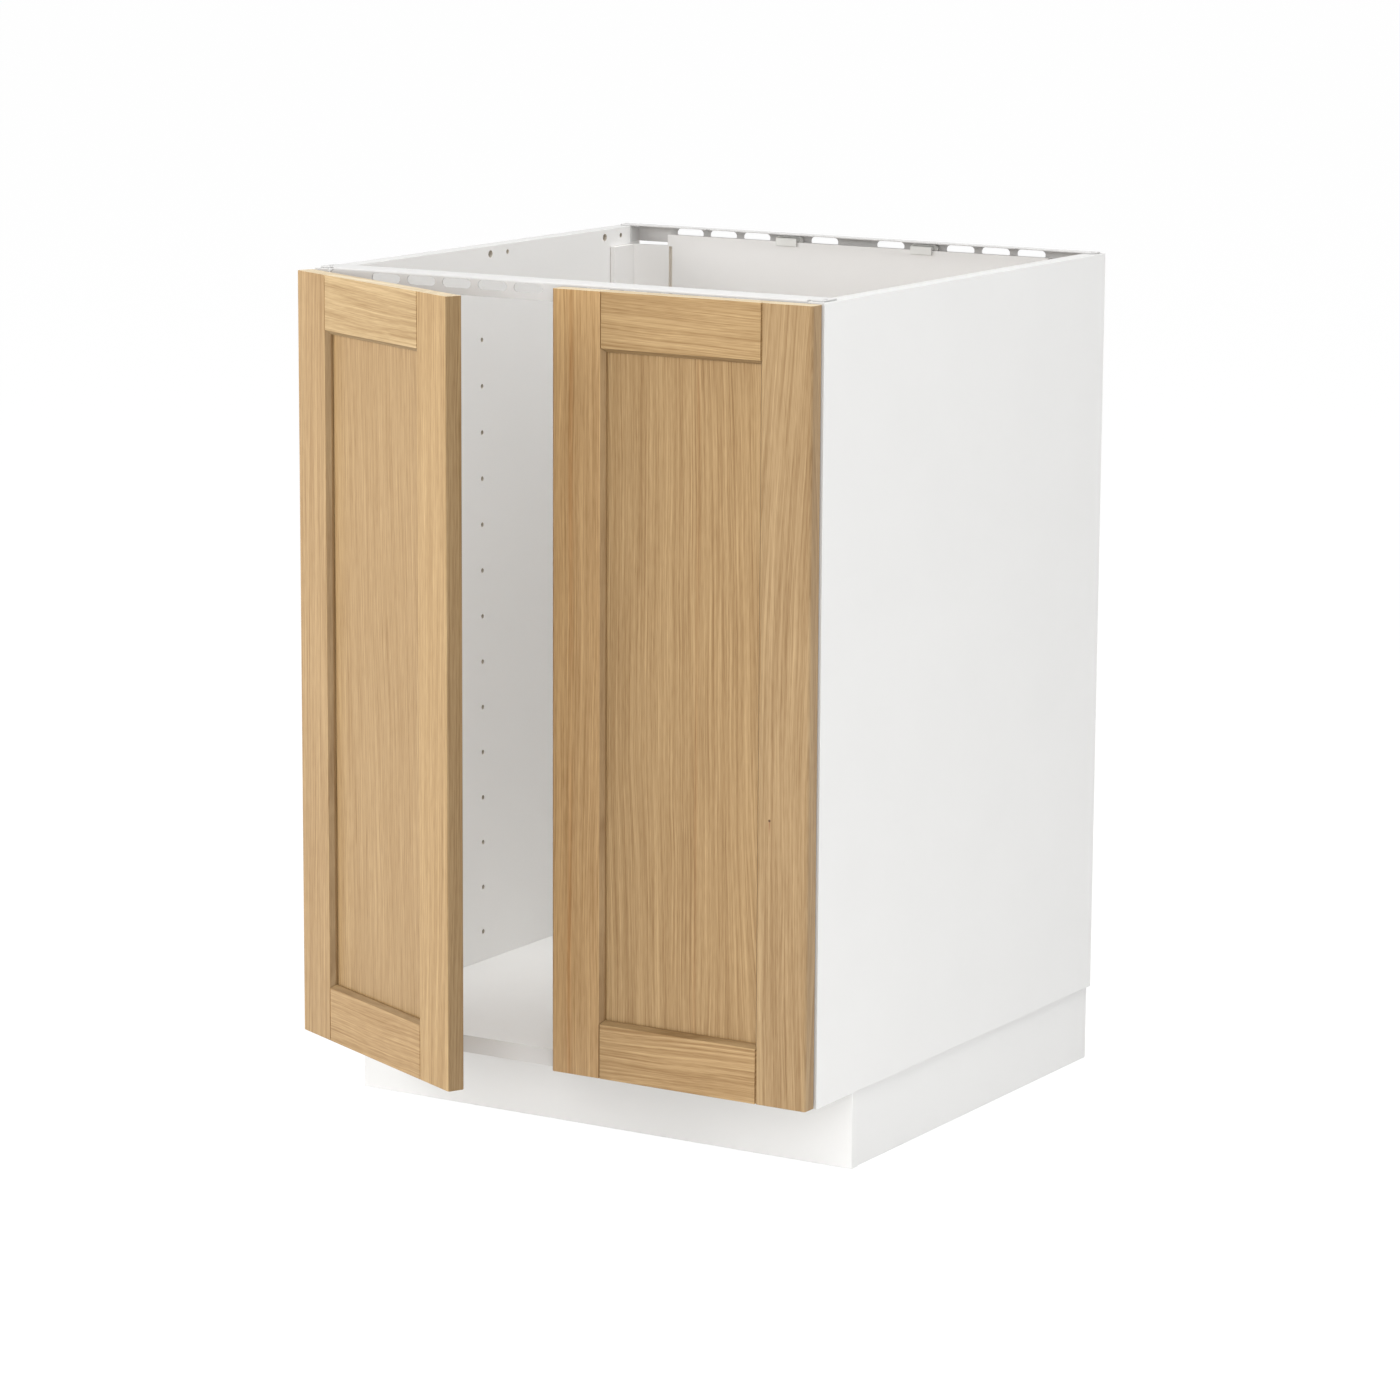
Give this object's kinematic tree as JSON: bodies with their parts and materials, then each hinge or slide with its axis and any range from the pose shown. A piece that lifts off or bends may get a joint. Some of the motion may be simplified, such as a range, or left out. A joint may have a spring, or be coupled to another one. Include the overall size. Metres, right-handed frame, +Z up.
{
  "type": "sink base cabinet",
  "caption": "Kitchen base cabinet for an inset sink: open-topped white carcass with slotted steel top rails, folded back, levelling legs, plinth and framed oak doors on concealed hinges.",
  "frame": {"origin": "on the floor, at mid-width, under the middle of the front plinth board's thickness", "axes": "+Z up, +X to the right as seen from the front, +Y from the doors towards the wall"},
  "size_m": [0.6087, 0.7434, 0.8815],
  "materials": {
    "white_board": "white foil on particle board, smooth, low sheen",
    "back_board": "white lacquered hardboard, routed at the folds",
    "white_steel": "white powder coat, low sheen",
    "white_plastic": "moulded, matte",
    "oak": "oak with clear matte lacquer",
    "beech": "plain fluted beech",
    "zinc": "nickel or zinc plated",
    "dark_plastic": "moulded, matte black"
  },
  "bodies": {
    "carcass": {"left_side_panel": "white_board", "right_side_panel": "white_board", "bottom_panel": "white_board", "left_front_dowel": "beech", "left_rear_dowel": "beech", "right_front_dowel": "beech", "right_rear_dowel": "beech", "back_panel": "back_board", "front_rail": "white_steel", "rear_rail": "white_steel", "back_clip_left": "white_plastic", "back_clip_right": "white_plastic", "leg_socket_front_left": "dark_plastic", "leg_socket_front_right": "dark_plastic", "leg_socket_rear_left": "dark_plastic", "leg_socket_rear_right": "dark_plastic", "plinth_front_board": "white_board", "plinth_side_board_left": "white_board", "plinth_side_board_right": "white_board", "plinth_clip_left": "dark_plastic", "plinth_clip_right": "dark_plastic", "left_lower_hinge_arm": "zinc", "left_lower_hinge_mounting_plate": "zinc", "left_upper_hinge_arm": "zinc", "left_upper_hinge_mounting_plate": "zinc", "right_lower_hinge_arm": "zinc", "right_lower_hinge_mounting_plate": "zinc", "right_upper_hinge_arm": "zinc", "right_upper_hinge_mounting_plate": "zinc"},
    "left_door": {"left_door_stile_hinge_side": "oak", "left_door_stile_meeting_side": "oak", "left_door_top_rail": "oak", "left_door_bottom_rail": "oak", "left_door_panel": "oak", "left_lower_hinge_cup": "zinc", "left_upper_hinge_cup": "zinc"},
    "right_door": {"right_door_stile_hinge_side": "oak", "right_door_stile_meeting_side": "oak", "right_door_top_rail": "oak", "right_door_bottom_rail": "oak", "right_door_panel": "oak", "right_lower_hinge_cup": "zinc", "right_upper_hinge_cup": "zinc"},
    "left_cup_links": {"left_lower_hinge_cup_link": "zinc", "left_upper_hinge_cup_link": "zinc"},
    "left_front_links": {"left_lower_hinge_front_link": "zinc", "left_upper_hinge_front_link": "zinc"},
    "right_cup_links": {"right_lower_hinge_cup_link": "zinc", "right_upper_hinge_cup_link": "zinc"},
    "right_front_links": {"right_lower_hinge_front_link": "zinc", "right_upper_hinge_front_link": "zinc"},
    "foot_front_left": {"levelling_foot_front_left": "dark_plastic"},
    "foot_front_right": {"levelling_foot_front_right": "dark_plastic"},
    "foot_rear_left": {"levelling_foot_rear_left": "dark_plastic"},
    "foot_rear_right": {"levelling_foot_rear_right": "dark_plastic"}
  },
  "joints": [
    {"name": "left_door_swing", "type": "hinge", "parent": "carcass", "child": "left_door", "pos_m": [-0.298, -0.0765, 0.48], "axis": [0, 0, -1], "range_deg": [-25.3, 84.7]},
    {"name": "right_door_swing", "type": "hinge", "parent": "carcass", "child": "right_door", "pos_m": [0.298, -0.0765, 0.48], "axis": [0, 0, 1], "range_deg": [0, 110]},
    {"name": "left_front_link_turn", "type": "hinge", "parent": "carcass", "child": "left_front_links", "pos_m": [-0.266, -0.0729, 0.48], "axis": [0, 0, -1], "range_deg": [-27.1, 90.7]},
    {"name": "left_cup_link_turn", "type": "hinge", "parent": "left_door", "child": "left_cup_links", "pos_m": [-0.28473, -0.09383, 0.48], "axis": [0, 0, -1], "range_deg": [-80.5, 24.1]},
    {"name": "right_front_link_turn", "type": "hinge", "parent": "carcass", "child": "right_front_links", "pos_m": [0.266, -0.0729, 0.48], "axis": [0, 0, 1], "range_deg": [-0.1, 117.8]},
    {"name": "right_cup_link_turn", "type": "hinge", "parent": "right_door", "child": "right_cup_links", "pos_m": [0.2786, -0.0865, 0.48], "axis": [0, 0, 1], "range_deg": [-104.6, 0.1]},
    {"name": "foot_front_left_level", "type": "slide", "parent": "carcass", "child": "foot_front_left", "axis": [0, 0, 1], "range_m": [-0.015, 0.005]},
    {"name": "foot_front_right_level", "type": "slide", "parent": "carcass", "child": "foot_front_right", "axis": [0, 0, 1], "range_m": [-0.015, 0.005]},
    {"name": "foot_rear_left_level", "type": "slide", "parent": "carcass", "child": "foot_rear_left", "axis": [0, 0, 1], "range_m": [-0.015, 0.005]},
    {"name": "foot_rear_right_level", "type": "slide", "parent": "carcass", "child": "foot_rear_right", "axis": [0, 0, 1], "range_m": [-0.015, 0.005]}
  ],
  "couplings": [
    {"joint": "left_front_link_turn", "follows": "left_door_swing", "ratio": 1.07},
    {"joint": "left_cup_link_turn", "follows": "left_door_swing", "ratio": -0.95},
    {"joint": "right_front_link_turn", "follows": "right_door_swing", "ratio": 1.07},
    {"joint": "right_cup_link_turn", "follows": "right_door_swing", "ratio": -0.95}
  ]
}
